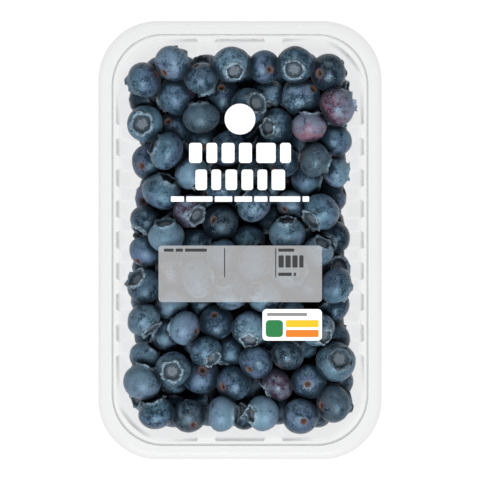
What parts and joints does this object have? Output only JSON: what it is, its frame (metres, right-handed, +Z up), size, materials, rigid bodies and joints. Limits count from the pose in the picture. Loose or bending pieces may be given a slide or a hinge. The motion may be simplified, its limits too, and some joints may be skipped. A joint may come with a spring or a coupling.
{
  "type": "punnet of blueberries",
  "caption": "Sealed clear ribbed plastic punnet full of loose blueberries, lying flat, with a wide flange and a clear printed top film.",
  "frame": {"origin": "middle of the tray's foot, on the surface that the pack lies on", "axes": "+Z up through the film, +Y along the long side towards the top of the print, +X to the right of the print"},
  "size_m": [0.1216, 0.188, 0.0582],
  "materials": {
    "clear_tray": "clear glossy thermoformed plastic, slightly frosted at the flange",
    "blueberry_skin": "dark blue fruit skin under a pale waxy bloom, with brown stalk scars and a few purple berries",
    "clear_film": "thin clear glossy film",
    "white_print": "opaque white ink on the film",
    "grey_panel": "see-through pale grey ink field",
    "colour_print": "flat colour fields and dark bars printed on the film"
  },
  "bodies": {
    "root": {"tray": "clear_tray", "berries": "blueberry_skin", "film": "clear_film"}
  },
  "joints": []
}
